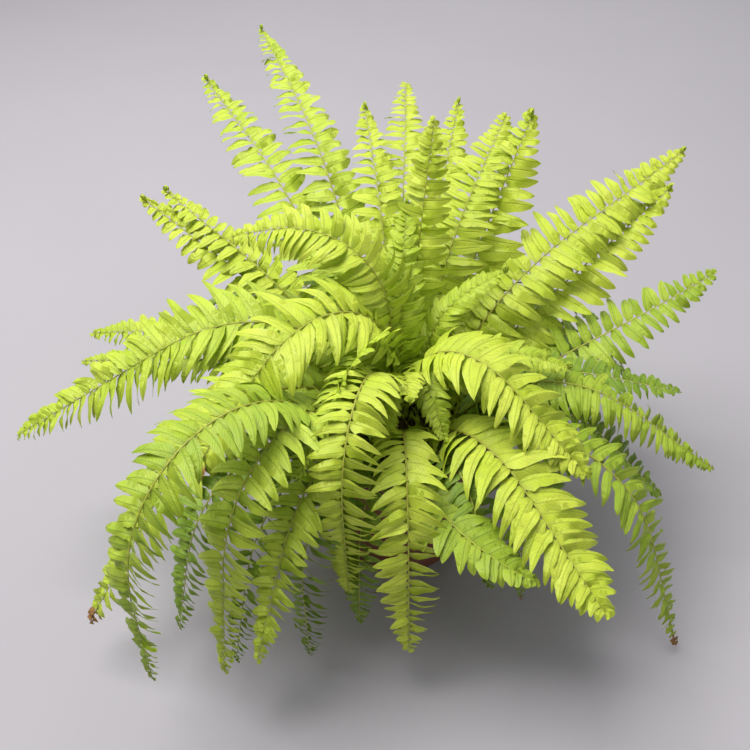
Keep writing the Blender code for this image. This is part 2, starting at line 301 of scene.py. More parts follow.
class Groups:
    """The shader groups that more than one finish uses."""

    def __init__(self) -> None:
        """Builds each group once."""
        self.mottle = self._mottle()
        self.veins = self._veins()
        self.specks = self._specks()

    @staticmethod
    def _new(
        name: str, inputs: dict[str, tuple[str, object]], outputs: tuple[str, ...]
    ) -> tuple[Nodes, bpy.types.Node, bpy.types.Node]:
        """Starts a group.

        Args:
            name: the group's name.
            inputs: each input's name with its kind and its usual value.
            outputs: the names of the outputs, each a number.

        Returns:
            The wiring helper, the group's input node and its output node.
        """
        tree = bpy.data.node_groups.new(name, "ShaderNodeTree")
        for label, (kind, usual) in inputs.items():
            socket = tree.interface.new_socket(label, in_out="INPUT", socket_type=kind)
            if usual is not None:
                socket.default_value = usual
        for label in outputs:
            tree.interface.new_socket(label, in_out="OUTPUT", socket_type="NodeSocketFloat")
        return Nodes(tree), tree.nodes.new("NodeGroupInput"), tree.nodes.new("NodeGroupOutput")

    def _mottle(self) -> bpy.types.NodeTree:
        """Builds soft blotches with finer ones over them."""
        at, given, made = self._new(
            "mottle",
            {
                "Vector": ("NodeSocketVector", None),
                "Coarse": ("NodeSocketFloat", 60.0),
                "Fine": ("NodeSocketFloat", 420.0),
            },
            ("Blotch", "Grain"),
        )
        coarse = at.noise(given.outputs["Vector"], given.outputs["Coarse"], 3.0, 0.55)
        fine = at.noise(given.outputs["Vector"], given.outputs["Fine"], 4.0, 0.6)
        at.feed(made.inputs["Blotch"], at.ramp(coarse, 0.34, 0.66))
        at.feed(made.inputs["Grain"], at.ramp(fine, 0.32, 0.68))
        return at.tree

    def _veins(self) -> bpy.types.NodeTree:
        """Builds a leaflet's middle vein, and the fine side veins that slant off it."""
        at, given, made = self._new(
            "leaf_veins",
            {
                "Along": ("NodeSocketFloat", 0.0),
                "Across": ("NodeSocketFloat", 0.0),
                "Count": ("NodeSocketFloat", 13.0),
                "Slant": ("NodeSocketFloat", 2.4),
            },
            ("Middle", "Side", "Height"),
        )
        off = at.math("ABSOLUTE", at.math("MULTIPLY_ADD", given.outputs["Across"], 2.0, -1.0))
        middle = at.ramp(off, 0.03, 0.13, 1.0, 0.0)
        run = at.math("MULTIPLY", given.outputs["Along"], given.outputs["Count"])
        phase = at.math("SUBTRACT", run, at.math("MULTIPLY", off, given.outputs["Slant"]))
        wave = at.math("ABSOLUTE", at.math("SUBTRACT", at.math("FRACT", phase), 0.5))
        side = at.math("MULTIPLY", at.ramp(wave, 0.30, 0.48), at.ramp(off, 0.95, 0.6))
        height = at.math("SUBTRACT", 0.6, at.math("MULTIPLY", side, 0.35))
        height = at.math("SUBTRACT", height, at.math("MULTIPLY", middle, 0.6))
        at.feed(made.inputs["Middle"], middle)
        at.feed(made.inputs["Side"], side)
        at.feed(made.inputs["Height"], height)
        return at.tree

    def _specks(self) -> bpy.types.NodeTree:
        """Builds small round specks, few and far between."""
        at, given, made = self._new(
            "specks",
            {
                "Vector": ("NodeSocketVector", None),
                "Scale": ("NodeSocketFloat", 260.0),
                "Size": ("NodeSocketFloat", 0.11),
                "Rarity": ("NodeSocketFloat", 0.66),
            },
            ("Speck",),
        )
        near = at.cells(given.outputs["Vector"], given.outputs["Scale"])
        spot = at.math("LESS_THAN", near, given.outputs["Size"])
        patch = at.noise(given.outputs["Vector"], 90.0, 1.0)
        allowed = at.math("GREATER_THAN", patch, given.outputs["Rarity"])
        at.feed(made.inputs["Speck"], at.math("MULTIPLY", spot, allowed))
        return at.tree


def new_material(name: str) -> tuple[Material, Nodes, bpy.types.Node]:
    """Makes a material with an empty Principled shader.

    Args:
        name: the material's name.

    Returns:
        The material, its wiring helper and its shader node.
    """
    material = bpy.data.materials.new(name)
    material.use_nodes = True
    return material, Nodes(material.node_tree), material.node_tree.nodes["Principled BSDF"]


@dataclass(frozen=True)
class LeafFinish:
    """Living leaf: mottled green with faint veins, glowing a little where light comes through."""

    name: str
    rich: Colour
    pale: Colour
    vein: Colour
    withered: Colour = (0.20, 0.10, 0.035)
    speck: Colour = (0.045, 0.035, 0.012)
    roughness: float = 0.46
    glow: float = 0.22

    def build(self, groups: Groups) -> Material:
        """Builds the material.

        Args:
            groups: the shared shader groups.

        Returns:
            The finished material.
        """
        material, at, shader = new_material(self.name)
        place = at.object_place()
        along, across = at.leaf_uv()
        chance, _, brown = at.leaf_data()
        mottle = at.group(groups.mottle, Vector=place, Coarse=55.0, Fine=520.0)
        veins = at.group(groups.veins, Along=along, Across=across)
        blotch, grain = mottle.outputs["Blotch"], mottle.outputs["Grain"]
        lift = at.math("MULTIPLY_ADD", chance, 0.45, at.math("MULTIPLY", blotch, 0.4))
        lift = at.math("ADD", lift, at.math("MULTIPLY", grain, 0.22))
        colour = at.mix(at.math("MINIMUM", lift, 1.0), self.rich, self.pale)
        # Painted shade: each leaflet darkens towards its foot at the midrib, where it tucks in under its
        # neighbours, using the vein colour.
        colour = at.mix(at.ramp(along, 0.22, 0.0, 0.0, 0.35), colour, self.vein)
        colour = at.mix(at.math("MULTIPLY", veins.outputs["Side"], 0.10), colour, self.vein)
        colour = at.mix(at.math("MULTIPLY", veins.outputs["Middle"], 0.42), colour, self.vein)
        specks = at.group(groups.specks, Vector=place)
        colour = at.mix(at.math("MULTIPLY", specks.outputs["Speck"], 0.55), colour, self.speck)
        dried = at.mix(grain, self.withered, tuple(part * 2.1 for part in self.withered))
        edge = at.math("ADD", brown, at.math("MULTIPLY", at.math("SUBTRACT", blotch, 0.5), 0.5))
        gone = at.math("MULTIPLY", at.ramp(edge, 0.35, 0.65), at.math("GREATER_THAN", brown, 0.01))
        at.feed(shader.inputs["Base Color"], at.mix(gone, colour, dried))
        rough = at.math("MULTIPLY_ADD", grain, 0.14, self.roughness - 0.07)
        at.feed(shader.inputs["Roughness"], at.math("MULTIPLY_ADD", gone, 0.25, rough))
        height = at.math("MULTIPLY_ADD", grain, 0.22, veins.outputs["Height"])
        at.feed(shader.inputs["Normal"], at.bump(height, 0.85, 0.30 * MM))
        shader.inputs["Subsurface Weight"].default_value = self.glow
        shader.inputs["Subsurface Radius"].default_value = (0.8, 1.0, 0.12)
        shader.inputs["Subsurface Scale"].default_value = 0.9 * MM
        shader.inputs["Specular IOR Level"].default_value = 0.32
        return material


@dataclass(frozen=True)
class StalkFinish:
    """A midrib's skin: olive brown at the crown, greener towards the tip, with fine lines and dots."""

    name: str
    low: Colour
    high: Colour
    dot: Colour = (0.028, 0.018, 0.008)

    def build(self, groups: Groups) -> Material:
        """Builds the material.

        Args:
            groups: the shared shader groups.

        Returns:
            The finished material.
        """
        material, at, shader = new_material(self.name)
        place = at.object_place()
        _, run, brown = at.leaf_data()
        mottle = at.group(groups.mottle, Vector=place, Coarse=160.0, Fine=900.0)
        colour = at.mix(at.ramp(run, 0.0, 0.75), self.low, self.high)
        colour = at.mix(at.math("MULTIPLY", mottle.outputs["Blotch"], 0.45), colour, self.low)
        specks = at.group(groups.specks, Vector=place, Scale=700.0, Size=0.28, Rarity=0.5)
        colour = at.mix(at.math("MULTIPLY", specks.outputs["Speck"], 0.45), colour, self.dot)
        at.feed(shader.inputs["Base Color"], at.mix(brown, colour, (0.10, 0.05, 0.02)))
        at.feed(shader.inputs["Roughness"], at.math("MULTIPLY_ADD", mottle.outputs["Grain"], 0.2, 0.42))
        at.feed(shader.inputs["Normal"], at.bump(mottle.outputs["Grain"], 0.5, 0.15 * MM))
        return material


@dataclass(frozen=True)
class PotFinish:
    """Moulded red-brown plastic, with a fine skin texture, scuffs and dried splashes of mix."""

    name: str = "terracotta_plastic"
    body: Colour = (0.205, 0.062, 0.032)
    worn: Colour = (0.30, 0.115, 0.065)
    dust: Colour = (0.26, 0.19, 0.13)

    def build(self, groups: Groups) -> Material:
        """Builds the material.

        Args:
            groups: the shared shader groups.

        Returns:
            The finished material.
        """
        material, at, shader = new_material(self.name)
        place = at.object_place()
        mottle = at.group(groups.mottle, Vector=place, Coarse=28.0, Fine=1500.0)
        scuff = at.ramp(at.noise(at.stretched(place, (1.0, 1.0, 9.0)), 55.0, 5.0, 0.65), 0.56, 0.70)
        dust = at.ramp(at.noise(place, 38.0, 5.0, 0.62), 0.50, 0.74)
        colour = at.mix(at.math("MULTIPLY", mottle.outputs["Blotch"], 0.35), self.body, self.worn)
        colour = at.mix(at.math("MULTIPLY", scuff, 0.45), colour, self.worn)
        colour = at.mix(at.math("MULTIPLY", dust, 0.40), colour, self.dust)
        at.feed(shader.inputs["Base Color"], colour)
        rough = at.math("MULTIPLY_ADD", mottle.outputs["Grain"], 0.12, 0.40)
        matt = at.math("MAXIMUM", dust, scuff)
        at.feed(shader.inputs["Roughness"], at.math("MULTIPLY_ADD", matt, 0.28, rough))
        at.feed(shader.inputs["Normal"], at.bump(mottle.outputs["Grain"], 0.35, 0.12 * MM))
        return material


@dataclass(frozen=True)
class EarthFinish:
    """A dull brown that varies from crumb to crumb: potting mix, bark, or the crown's dry scales."""

    name: str
    dark: Colour
    light: Colour
    coarse: float = 140.0
    fine: float = 900.0
    relief: float = 0.6 * MM

    def build(self, groups: Groups) -> Material:
        """Builds the material.

        Args:
            groups: the shared shader groups.

        Returns:
            The finished material.
        """
        material, at, shader = new_material(self.name)
        place = at.object_place()
        mottle = at.group(groups.mottle, Vector=place, Coarse=self.coarse, Fine=self.fine)
        blotch = at.math("MULTIPLY", mottle.outputs["Blotch"], 0.55)
        share = at.math("MULTIPLY_ADD", mottle.outputs["Grain"], 0.45, blotch)
        at.feed(shader.inputs["Base Color"], at.mix(share, self.dark, self.light))
        at.feed(shader.inputs["Roughness"], at.ramp(mottle.outputs["Blotch"], 0.0, 1.0, 0.95, 0.72))
        at.feed(shader.inputs["Normal"], at.bump(share, 0.8, self.relief))
        return material


class Wardrobe:
    """Every finish of the object, built once."""

    # Lit and shaded copies of one leaf green: their spread is partly the paler and deeper green of sun-grown
    # and shade-grown fronds, partly painted light and painted shade.
    LEAVES = {
        LeafTone.BRIGHT: LeafFinish(
            "leaf_bright", rich=(0.47, 0.62, 0.030), pale=(0.66, 0.78, 0.085), vein=(0.23, 0.30, 0.02)
        ),
        LeafTone.FRESH: LeafFinish(
            "leaf_fresh", rich=(0.40, 0.56, 0.028), pale=(0.60, 0.74, 0.08), vein=(0.20, 0.27, 0.02)
        ),
        LeafTone.MIDDLE: LeafFinish(
            "leaf_middle", rich=(0.27, 0.42, 0.024), pale=(0.44, 0.58, 0.05), vein=(0.13, 0.19, 0.015)
        ),
        LeafTone.SHADED: LeafFinish(
            "leaf_shaded", rich=(0.15, 0.27, 0.020), pale=(0.28, 0.42, 0.04), vein=(0.08, 0.12, 0.012)
        ),
    }

    def __init__(self, groups: Groups) -> None:
        """Builds the materials.

        Args:
            groups: the shared shader groups.
        """
        self.leaf = {tone: finish.build(groups) for tone, finish in self.LEAVES.items()}
        self.stalk = StalkFinish("stalk_olive", (0.30, 0.28, 0.035), (0.52, 0.58, 0.07)).build(groups)
        self.pot = PotFinish().build(groups)
        self.mix = EarthFinish("potting_mix", (0.018, 0.011, 0.007), (0.085, 0.052, 0.030)).build(groups)
        bark = EarthFinish("bark_crumbs", (0.05, 0.028, 0.014), (0.20, 0.125, 0.07), 300.0, 1600.0)
        grit = EarthFinish("perlite", (0.55, 0.53, 0.48), (0.80, 0.79, 0.75), 500.0, 2200.0)
        scales = EarthFinish("rootstock", (0.045, 0.025, 0.012), (0.17, 0.095, 0.04), 220.0, 1200.0)
        self.crumb, self.grit, self.crown = (finish.build(groups) for finish in (bark, grit, scales))


# ---------------------------------------------------------------------------------------------------
# Shapes
# ---------------------------------------------------------------------------------------------------


class TubeForm:
    """A closed tube of rings and corners, ready to be shaped into a leaflet or a stalk."""

    def __init__(
        self, name: str, corners: int, rings: int, slot: int, across: tuple[float, ...] | None = None
    ) -> None:
        """Builds the plain tube.

        Args:
            name: the name of its mesh.
            corners: how many corners go round it.
            rings: how many rings lie along it, both ends counted.
            slot: the material slot of its faces.
            across: each corner's place across, 0 to 1, for its UV map.
        """
        self.rings = rings
        shape = bmesh.new()
        bmesh.ops.create_cone(shape, cap_ends=True, segments=corners, radius1=1.0, radius2=1.0, depth=1.0)
        long_edges = [edge for edge in shape.edges if abs(edge.verts[0].co.z - edge.verts[1].co.z) > 0.5]
        bmesh.ops.subdivide_edges(shape, edges=long_edges, cuts=rings - 2)
        self.marks = [self._mark(vert.co, corners) for vert in shape.verts]
        shape.verts.index_update()
        uv = shape.loops.layers.uv.new(LEAF_UV)
        for face in shape.faces:
            face.material_index = slot
            for loop in face.loops:
                ring, corner = self.marks[loop.vert.index]
                side = across[corner] if across else corner / corners
                loop[uv].uv = (ring / (rings - 1), side)
        self.mesh = bpy.data.meshes.new(name)
        shape.to_mesh(self.mesh)
        shape.free()

    def _mark(self, place: Vector, corners: int) -> tuple[int, int]:
        """Returns the ring and the corner of a point of the plain tube."""
        ring = round((place.z + 0.5) * (self.rings - 1))
        corner = round(math.atan2(place.y, place.x) / math.tau * corners) % corners
        return ring, corner


class Assembly:
    """One piece's mesh, gathered from shaped forms."""

    def __init__(self) -> None:
        """Starts empty."""
        self.shape = bmesh.new()
        self.places: list[Vector] = []
        self.data: list[PointData] = []

    def add(self, form: TubeForm, places: list[Vector], data: list[PointData]) -> None:
        """Adds a copy of a form.

        Args:
            form: the plain form.
            places: where each of its points goes.
            data: each point's leaf data.
        """
        self.shape.from_mesh(form.mesh)
        self.places += places
        self.data += data

    def finish(self, name: str, materials: list[Material], sharp: float = 50.0) -> bpy.types.Object:
        """Makes the object.

        Args:
            name: the object's name.
            materials: its material slots.
            sharp: the angle past which an edge stays sharp, in degrees.

        Returns:
            The object, at the origin.
        """
        layer = self.shape.verts.layers.float_color.new(LEAF_DATA)
        for vert, place, data in zip(self.shape.verts, self.places, self.data):
            vert.co = place
            vert[layer] = data
        return object_of(name, self.shape, materials, sharp)


def object_of(name: str, shape: BMesh, materials: list[Material], sharp: float) -> bpy.types.Object:
    """Makes an object of a bmesh, shaded smooth, and frees the bmesh.

    Args:
        name: the object's name.
        shape: its mesh.
        materials: its material slots.
        sharp: the angle past which an edge stays sharp, in degrees.

    Returns:
        The object, linked to the scene.
    """
    mesh = bpy.data.meshes.new(name)
    shape.to_mesh(mesh)
    shape.free()
    for material in materials:
        mesh.materials.append(material)
    mesh.shade_smooth()
    mesh.set_sharp_from_angle(angle=math.radians(sharp))
    made = bpy.data.objects.new(name, mesh)
    bpy.context.scene.collection.objects.link(made)
    return made


@dataclass(frozen=True)
class Pose:
    """A place on a midrib and the way it faces there."""

    place: Vector
    along: Vector
    side: Vector
    up: Vector


class Midrib:
    """The run of a frond's midrib, read from its plain solid in the frame."""

    ROW_POINTS = 6
    MOST_TURN = math.radians(34.0)

    def __init__(self, solid: bpy.types.Object, crown: Vector) -> None:
        """Reads the solid.

        Args:
            solid: the frond's plain sheet.
            crown: the middle of the crown that it grows from.
        """
        rows = self._rows(solid, crown)
        left = UP.cross(self._middle(rows[-1]) - self._middle(rows[0]))
        found = []
        for row in rows:
            spread = max(((a - b) for a in row for b in row), key=lambda gap: gap.length)
            if spread.dot(left) < 0:
                spread = -spread
            ordered = sorted(row, key=spread.dot)
            side = ordered[4] + ordered[5] - ordered[0] - ordered[1]
            found.append(((ordered[2] + ordered[3]) / 2, side.normalized()))
        for index in reversed(range(len(found) - 1)):
            if found[index][1].angle(found[index + 1][1]) > self.MOST_TURN:
                found[index] = (found[index][0], found[index + 1][1])
        self.places, self.sides = self._evened(found)
        self.last = len(self.places) - 1
        self.length = sum((b - a).length for a, b in zip(self.places, self.places[1:]))

    @staticmethod
    def _middle(row: list[Vector]) -> Vector:
        """Returns the middle of a row's points."""
        return sum(row, Vector()) / len(row)

    @staticmethod
    def _evened(found: list[tuple[Vector, Vector]]) -> tuple[list[Vector], list[Vector]]:
        """Puts back the rows that a straight run has lost, so that all lie a step apart.

        Args:
            found: each row's place and side, from the crown out.

        Returns:
            The places and the sides of all rows.
        """
        step = min((b[0] - a[0]).length for a, b in zip(found, found[1:]))
        places, sides = [found[0][0]], [found[0][1]]
        for start, end in zip(found, found[1:]):
            count = round((end[0] - start[0]).length / step)
            for part in range(1, count + 1):
                places.append(start[0].lerp(end[0], part / count))
                sides.append(start[1].lerp(end[1], part / count).normalized())
        return places, sides

    def _rows(self, solid: bpy.types.Object, crown: Vector) -> list[list[Vector]]:
        """Sorts the solid's points into its cross rows, from the crown out.

        Args:
            solid: the frond's plain sheet.
            crown: the middle of the crown.

        Returns:
            The rows, six points each.
        """
        shape = bmesh.new()
        shape.from_mesh(solid.data)
        bmesh.ops.remove_doubles(shape, verts=shape.verts, dist=0.01 * MM)
        foot = self._nearest(shape, crown)
        tip = self._nearest(shape, self._followed(foot)[-1][0].co)
        rows = []
        for row in self._followed(tip):
            if len(row) != self.ROW_POINTS:
                break
            rows.append(row)
        if set(rows[-1]) != set(foot):
            rows.append(foot)
        places = [[vert.co.copy() for vert in row] for row in reversed(rows)]
        shape.free()
        return places

    def _nearest(self, shape: BMesh, place: Vector) -> list[bmesh.types.BMVert]:
        """Returns the end row nearest to a place."""
        return sorted(shape.verts, key=lambda vert: (vert.co - place).length)[: self.ROW_POINTS]

    @staticmethod
    def _followed(row: list[bmesh.types.BMVert]) -> list[list[bmesh.types.BMVert]]:
        """Returns a row and those after it, each a step of edges further on."""
        seen = set(row)
        rows = []
        while row:
            rows.append(row)
            near = {edge.other_vert(vert) for vert in row for edge in vert.link_edges} - seen
            seen |= near
            row = sorted(near, key=lambda vert: tuple(vert.co))
        return rows

    def at(self, share: float) -> Pose:
        """Finds a place on the midrib.

        Args:
            share: how far along it, from 0 at the crown to 1 at the tip, or a little over.

        Returns:
            The place, with the ways along, to the left and up out of the blade.
        """
        run = min(max(share, 0.0), 1.0) * self.last
        step = min(int(run), self.last - 1)
        part = run - step
        before = self.places[max(step - 1, 0)]
        start, end = self.places[step], self.places[step + 1]
        after = self.places[min(step + 2, self.last)]
        out, back = (end - before) / 2, (after - start) / 2
        square, cube = part * part, part**3
        place = (
            start * (2 * cube - 3 * square + 1)
            + out * (cube - 2 * square + part)
            + end * (3 * square - 2 * cube)
            + back * (cube - square)
        )
        along = (
            start * (6 * square - 6 * part)
            + out * (3 * square - 4 * part + 1)
            + end * (6 * part - 6 * square)
            + back * (3 * square - 2 * part)
        ).normalized()
        side = self.sides[step].lerp(self.sides[step + 1], part)
        side = (side - along * side.dot(along)).normalized()
        place = place + along * (max(share - 1.0, 0.0) * self.length)
        return Pose(place, along, side, along.cross(side))


@dataclass
class Leaflet:
    """One leaflet: a thin pointed blade with a short ear at its foot and a soft fold along its vein."""

    root: Vector
    outward: Vector
    normal: Vector
    tip_sign: float
    length: float
    half_breadth: float
    blunt: float
    hook: float
    sag: float
    arch: float
    curl: float
    roof: float
    ripple: float
    phase: float
    thickness: float = 0.34 * MM

    def half_at(self, share: float, tipward: float) -> float:
        """Returns the half breadth at a share of the length, on the tipward side or the other."""
        foot = blend(0.46, 1.0, ease(share / 0.16))
        point = max(1.0 - share**self.blunt, 0.0) ** 0.66
        ear = math.exp(-(((share - 0.10) / 0.08) ** 2))
        swell = 1.0 + ear * (0.40 if tipward > 0 else 0.10)
        notch = 1.0 + 0.06 * math.sin(27.0 * share + self.phase * 3.0 + (2.0 if tipward > 0 else 0.0))
        return self.half_breadth * max(foot * point * swell * notch, 0.05)

    def spine(self, share: float) -> tuple[float, float, float]:
        """Returns how far out, how far tipward and how high the middle vein lies at a share."""
        sway = self.hook * self.length * share**2.1
        bow = self.arch * math.sin(math.pi * min(share, 1.0) * 0.72)
        out = self.length * share * (1.0 - 0.3 * (self.sag + self.hook) * share)
        return out, sway * self.tip_sign, self.length * (bow - self.sag * share * share)

    def places(self, form: TubeForm) -> list[Vector]:
        """Shapes the plain form.

        Args:
            form: the leaflet form.

        Returns:
            The place of each of its points.
        """
        across = self.normal.cross(self.outward)
        found = []
        for ring, corner in form.marks:
            even = ring / (form.rings - 1)
            share = 0.5 * (even + 0.5 - 0.5 * math.cos(math.pi * even))
            reach, face = LEAFLET_CORNERS[corner].value
            half = self.half_at(share, reach * self.tip_sign)
            out, sway, rise = self.spine(share)
            turned = self.curl * share
            wave = self.ripple * half * math.sin(8.5 * share + self.phase + (1.7 if reach > 0 else 0.0))
            height = rise + abs(reach) * (wave - self.roof * half) + reach * half * math.sin(turned)
            if face > 0:
                height += (0.16 * half if reach else -0.04 * half) + self.thickness * 0.5
            elif face < 0:
                height -= self.thickness * 0.5
            place = self.root + self.outward * out + self.normal * height
            found.append(place + across * (sway + reach * half * math.cos(turned)))
        return found


@dataclass(frozen=True)
class FrondCut:
    """How one frond's leaflets are cut and set, in millimetres, degrees and shares."""

    reach: float
    spacing: float
    breadth: float
    angle: float = 73.0
    blunt: float = 1.9
    hook: float = 0.17
    lift: float = 1.0
    sag: float = 0.26
    arch: float = 0.10
    twist: float = 5.0
    roof: float = 0.30
    start: float = 0.04
    broad_at: float = 0.34
    taper: float = 2.0
    tone: LeafTone = LeafTone.BRIGHT
    tip: TipKind = TipKind.TAPERED
    stalk: float = 1.0
    turn: float = 0.34


@dataclass
class Frond:
    """One leaf: its stalk and midrib, two rows of leaflets and its tip."""

    LAST_LEAFLET: ClassVar[float] = 0.985
    WITHER_FROM: ClassVar[float] = 0.93
    BUD_RADIUS: ClassVar[float] = 2.1
    BUD_TURN: ClassVar[float] = 8.6

    name: str
    cut: FrondCut
    midrib: Midrib
    chance: random.Random = field(init=False)

    def __post_init__(self) -> None:
        """Seeds the frond's own small differences."""
        self.chance = random.Random(self.name)

    def fullness(self, share: float) -> float:
        """Returns the leaflets' length at a share of the frond, 1 where they are longest."""
        cut = self.cut
        risen = blend(0.62, 1.0, ease((share - cut.start) / (cut.broad_at - cut.start)))
        gone = max(share - cut.broad_at, 0.0) / (1.0 - cut.broad_at)
        return risen * max(1.0 - gone**cut.taper, 0.0) ** 0.75

    def withering(self, share: float) -> float:
        """Returns how brown the frond is at a share of its length."""
        if self.cut.tip is not TipKind.WITHERED:
            return 0.0
        return ease((share - self.WITHER_FROM) / 0.05)

    def stalk_radius(self, share: float) -> float:
        """Returns the midrib's radius at a share of its length."""
        return self.cut.stalk * blend(0.82, 0.24, min(share, 1.0) ** 0.7) * MM

    def leaflets(self) -> Iterator[tuple[Leaflet, float]]:
        """Sets the leaflets out, left and right in turn.

        Returns:
            Each leaflet with its share along the frond.
        """
        share = self.cut.start
        while share < self.LAST_LEAFLET:
            full = self.fullness(share)
            step = self.cut.spacing * MM / self.midrib.length * blend(0.34, 1.0, full)
            for sign in (1.0, -1.0):
                yield self.leaflet(share + (0.25 * sign + 0.1) * step, sign, full), share
            share += step

    def leaflet(self, share: float, sign: float, full: float) -> Leaflet:
        """Sets one leaflet.

        Args:
            share: how far along the frond it stands.
            sign: 1 on the left, -1 on the right.
            full: its share of the longest leaflet's length.

        Returns:
            The leaflet.
        """
        cut, chance = self.cut, self.chance
        pose = self.midrib.at(share)
        angle = math.radians(cut.angle + 12.0 * (0.45 - share) + chance.gauss(0.0, 4.0))
        lift = math.radians(cut.lift + chance.gauss(0.0, 6.0))
        side, up = self.sunward(pose)
        outward = side * (sign * math.cos(lift)) + up * math.sin(lift)
        outward = (pose.along * math.cos(angle) + outward * math.sin(angle)).normalized()
        normal = (up - outward * up.dot(outward)).normalized()
        twist = math.radians(cut.twist + chance.gauss(0.0, 8.0)) * sign
        normal = Matrix.Rotation(twist, 3, outward) @ normal
        return Leaflet(
            root=pose.place + outward * (self.stalk_radius(share) * 0.55) + pose.up * (0.2 * MM),
            outward=outward,
            normal=normal,
            tip_sign=-sign,
            length=cut.reach * MM * full * chance.uniform(0.90, 1.07),
            half_breadth=cut.breadth * MM * 0.64 * blend(0.50, 1.0, full) * chance.uniform(0.92, 1.08),
            blunt=cut.blunt * blend(1.35, 1.0, full),
            hook=cut.hook + chance.gauss(0.0, 0.05),
            sag=cut.sag + chance.gauss(0.0, 0.06),
            arch=cut.arch + chance.gauss(0.0, 0.02),
            curl=chance.gauss(0.0, 0.35),
            roof=cut.roof + chance.gauss(0.0, 0.06),
            ripple=chance.uniform(0.10, 0.30),
            phase=chance.uniform(0.0, math.tau),
        )

    def sunward(self, pose: Pose) -> tuple[Vector, Vector]:
        """Turns the blade a little to the light that the plant grew in.

        Args:
            pose: where the blade is, and how it lies.

        Returns:
            The turned side and up.
        """
        light = LIGHT_SIDE - pose.along * LIGHT_SIDE.dot(pose.along)
        up = (pose.up + light * self.cut.turn).normalized()
        side = (pose.side - up * pose.side.dot(up)).normalized()
        return side, up

    def midrib_places(self, form: TubeForm, end: float) -> list[Vector]:
        """Shapes the midrib's tube.

        Args:
            form: the plain tube.
            end: the share of the frond where it ends.

        Returns:
            The place of each of its points.
        """
        corners = 1 + max(corner for _, corner in form.marks)
        found = []
        for ring, corner in form.marks:
            share = end * ring / (form.rings - 1)
            pose = self.midrib.at(share)
            turn = math.tau * corner / corners
            radius = self.stalk_radius(share)
            place = pose.place + pose.side * (math.cos(turn) * radius) + pose.up * (math.sin(turn) * radius)
            found.append(place)
        return found

    def crozier_places(self, form: TubeForm) -> list[Vector]:
        """Shapes the curled bud at the tip: a flat spiral that rolls up out of the blade.

        Args:
            form: the plain tube.

        Returns:
            The place of each of its points.
        """
        corners = 1 + max(corner for _, corner in form.marks)
        pose = self.midrib.at(self.LAST_LEAFLET)
        middle = pose.place + pose.up * (self.BUD_RADIUS * MM)
        found = []
        for ring, corner in form.marks:
            share = ring / (form.rings - 1)
            turn = share * self.BUD_TURN
            radius = blend(self.BUD_RADIUS, 0.5, share) * MM
            out = pose.along * math.sin(turn) - pose.up * math.cos(turn)
            skin = math.tau * corner / corners
            thick = blend(0.42, 0.62, share) * MM * (1.0 + 0.25 * math.sin(9.0 * turn))
            spot = middle + out * (radius + math.cos(skin) * thick)
            found.append(spot + pose.side * (math.sin(skin) * thick * 1.5))
        return found

    def build(self, forms: dict[str, TubeForm], wardrobe: Wardrobe) -> bpy.types.Object:
        """Builds the frond's piece.

        Args:
            forms: the plain forms, by name.
            wardrobe: the finishes.

        Returns:
            The frond's object.
        """
        parts = Assembly()
        for leaflet, share in self.leaflets():
            number = self.chance.random()
            brown = self.withering(share)
            places = leaflet.places(forms["leaflet"])
            parts.add(forms["leaflet"], places, [(number, share, brown, 1.0)] * len(places))
        form = forms["midrib"]
        runs = [ring / (form.rings - 1) for ring, _ in form.marks]
        data = [(0.5, run, self.withering(run), 1.0) for run in runs]
        parts.add(form, self.midrib_places(form, 0.99), data)
        if self.cut.tip is TipKind.CROZIER:
            places = self.crozier_places(forms["crozier"])
            parts.add(forms["crozier"], places, [(0.1, 1.0, 0.0, 1.0)] * len(places))
        return parts.finish(self.name + "_leaf", [wardrobe.leaf[self.cut.tone], wardrobe.stalk])


def arching(reach: float, spacing: float, breadth: float, **rest: object) -> FrondCut:
    """Returns the cut of a full-grown frond that spills over."""
    return FrondCut(reach, spacing, breadth, **rest)


def upright(reach: float, spacing: float, breadth: float, **rest: object) -> FrondCut:
    """Returns the cut of a full-grown frond that leans back: blunter leaflets and a curled bud."""
    usual = {"blunt": 3.2, "angle": 84.0, "hook": 0.10, "roof": 0.22, "tip": TipKind.CROZIER}
    return FrondCut(reach, spacing, breadth, **{**usual, **rest})


def hanging(reach: float, spacing: float, breadth: float, **rest: object) -> FrondCut:
    """Returns the cut of a low frond that grew in shade, with the shaded tone: partly its deeper green,
    partly painted shade.
    """
    usual = {"tone": LeafTone.SHADED, "angle": 80.0, "blunt": 2.2, "stalk": 0.85}
    return FrondCut(reach, spacing, breadth, **{**usual, **rest})


def young(reach: float, spacing: float, breadth: float, **rest: object) -> FrondCut:
    """Returns the cut of a small new frond."""
    usual = {"tone": LeafTone.FRESH, "tip": TipKind.CROZIER, "blunt": 2.2, "stalk": 0.7, "start": 0.1}
    return FrondCut(reach, spacing, breadth, **{**usual, **rest})


BRIGHT, FRESH, MIDDLE, SHADED = tuple(LeafTone)
WITHERED, TAPERED = TipKind.WITHERED, TipKind.TAPERED
